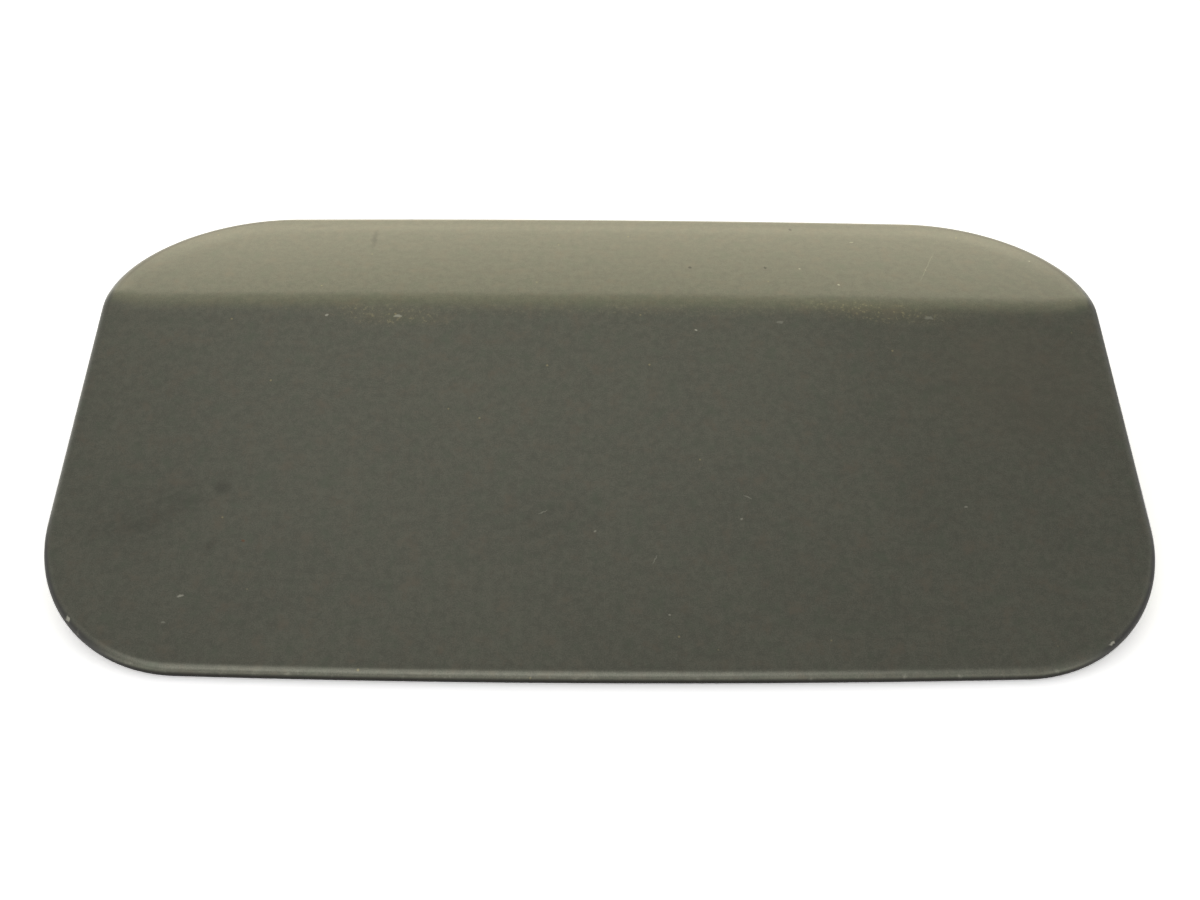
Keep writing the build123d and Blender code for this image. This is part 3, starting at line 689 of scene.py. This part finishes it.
zinc = platedFinish("dullZinc", plating["zinc"])
rivetSteel = platedFinish("platedRivet", plating["rivet"])
nylon, rubber = nylonFinish(), rubberFinish()
springWire.data.materials.append(springFinish("drawnWire", "wrap"))
dressed = {
    "inner_panel": panelFinish(), "hinge_leaf": blackFinish(), "hinge_base": zinc, "striker": zinc,
    "leaf_rivets": rivetSteel, "striker_rivets": rivetSteel, "hinge_pin": turnedFinish(),
    "pin_clip": springFinish("springSteel"), "bush_near": nylon, "bush_far": nylon,
    "buffer_near": rubber, "buffer_far": rubber,
}
for name, material in dressed.items():
    cadNodes[name].data.materials.clear()
    cadNodes[name].data.materials.append(material)
print("nodes dressed,", len(dressed))

# camera: placed by its turn and distance, measured from the frame's origin; mm and degrees
camera = {
    "lens": 36.0, "sensor": 36.0, "clip": 10.0, "elevation": 41.931, "azimuth": 0.7696, "roll": 0.8654,
    "distance": 256.1047, "offset": (0.212, -3.0233),
}


def placeCamera():
    high, swing, roll = (math.radians(camera[key]) for key in ("elevation", "azimuth", "roll"))
    ahead = np.array([math.sin(swing) * math.cos(high), math.cos(swing) * math.cos(high), -math.sin(high)])
    level = np.array([math.cos(swing), -math.sin(swing), 0.0])
    upward = np.cross(level, ahead)
    right = level * math.cos(roll) + upward * math.sin(roll)
    top = upward * math.cos(roll) - level * math.sin(roll)
    place = -(right * camera["offset"][0] + top * camera["offset"][1] + ahead * camera["distance"]) * mm
    data = bpy.data.cameras.new("camera")
    data.lens, data.sensor_width, data.clip_start = camera["lens"], camera["sensor"], camera["clip"] * mm
    holder = bpy.data.objects.new("camera", data)
    scene.collection.objects.link(holder)
    turned = np.column_stack([right, top, -ahead])
    holder.matrix_world = Matrix.Translation(place.tolist()) @ Matrix(turned.tolist()).to_4x4()
    scene.camera = holder


placeCamera()
print("camera placed")

# studio: pale floor, a room that is white at the horizon and dims overhead, soft panels round the door
studio = {
    "floor": (0.93, 0.93, 0.93, 1.0), "seenFloor": (0.9, 0.9, 0.9, 1.0),
    "reach": 1.7, "spokes": 96, "rings": 24, "crowding": 3,  # floor in metres, rings crowded to the middle
    "horizon": (1.0, 1.0, 1.0, 1.0), "roomLow": (0.6, 0.6, 0.6, 1.0), "roomHigh": (0.35, 0.35, 0.35, 1.0),
    "dimming": (0.25, 0.95), "whitening": (0.2, 0.1),  # by the sine of the height
    "panels": {  # place, width, height, power, colour
        "backLow": ((0.0, 1.2, 0.14), 1.6, 0.4, 2.9, (1.0, 0.86, 0.53)),
        "backMid": ((0.0, 1.15, 0.5), 1.6, 0.4, 1.96, (1.0, 0.94, 0.66)),
        "backHigh": ((0.0, 0.9, 0.95), 1.4, 0.5, 1.31, (1.0, 0.99, 0.58)),
        "topLeft": ((-0.6, 0.4, 1.1), 0.9, 0.7, 0.15, (1.0, 1.0, 1.0)),
        "topMid": ((-0.1, 0.4, 1.2), 0.9, 0.7, 0.62, (1.0, 1.0, 1.0)),
        "frontHigh": ((-0.25, -0.93, 1.0), 1.6, 0.5, 3.0, (1.0, 1.0, 1.0)),
        "front": ((-0.3, -1.45, 0.85), 1.4, 0.4, 3.2, (1.0, 1.0, 1.0)),
    },
}


def floorFinish():  # matt floor, lit up to white where it is seen, which keeps the shadow
    material = bpy.data.materials.new("paleFloor")
    material.use_nodes = True
    tree = material.node_tree
    tree.nodes.clear()
    matt = add(tree, "ShaderNodeBsdfDiffuse", {"Color": studio["floor"]})
    bleach = add(tree, "ShaderNodeBsdfDiffuse", {"Color": studio["seenFloor"]})
    path = add(tree, "ShaderNodeLightPath").outputs
    mirrored = larger(tree, path["Is Glossy Ray"], path["Is Transmission Ray"])
    seen = larger(tree, path["Is Camera Ray"], mirrored)
    nothing = add(tree, "ShaderNodeBsdfTransparent", {"Color": (0.0, 0.0, 0.0, 1.0)})
    extra = add(tree, "ShaderNodeMixShader", {0: seen, 1: nothing.outputs[0], 2: bleach.outputs[0]})
    both = add(tree, "ShaderNodeAddShader", {0: matt.outputs[0], 1: extra.outputs[0]})
    add(tree, "ShaderNodeOutputMaterial", {"Surface": both.outputs[0]})
    return material


def buildFloor():  # flat disc as rings round the middle, at the height on which the door rests
    spokes = np.linspace(0, 2 * math.pi, studio["spokes"], endpoint=False)
    out = np.linspace(0, 1, studio["rings"])[:, None] ** studio["crowding"] * studio["reach"]
    low = np.full((studio["rings"], studio["spokes"]), cadBox[0][2])
    floor = gridPiece("floor", np.stack([out * np.cos(spokes), out * np.sin(spokes), low], axis=-1))
    floor.data.materials.append(floorFinish())


def lightRoom():
    world = bpy.data.worlds.new("room")
    scene.world = world
    world.use_nodes = True
    tree = world.node_tree
    around = add(tree, "ShaderNodeTexCoord").outputs["Generated"]
    height = add(tree, "ShaderNodeSeparateXYZ", {0: around}).outputs[2]
    sky = tint(tree, remap(tree, height, *studio["dimming"]), studio["roomLow"], studio["roomHigh"])
    sky = tint(tree, remap(tree, height, *studio["whitening"]), sky, studio["horizon"])
    tree.links.new(sky, tree.nodes["Background"].inputs["Color"])
    for name, (place, wide, tall, power, colour) in studio["panels"].items():
        data = bpy.data.lights.new(name, "AREA")
        data.shape, data.size, data.size_y, data.energy, data.color = "RECTANGLE", wide, tall, power, colour
        lamp = bpy.data.objects.new(name, data)
        scene.collection.objects.link(lamp)
        facing = Vector(place).to_track_quat("Z", "Y").to_matrix().to_4x4()  # each panel faces the origin
        lamp.matrix_world = Matrix.Translation(place) @ facing


buildFloor()
lightRoom()
scene.view_settings.view_transform = "Standard"
print("studio set")
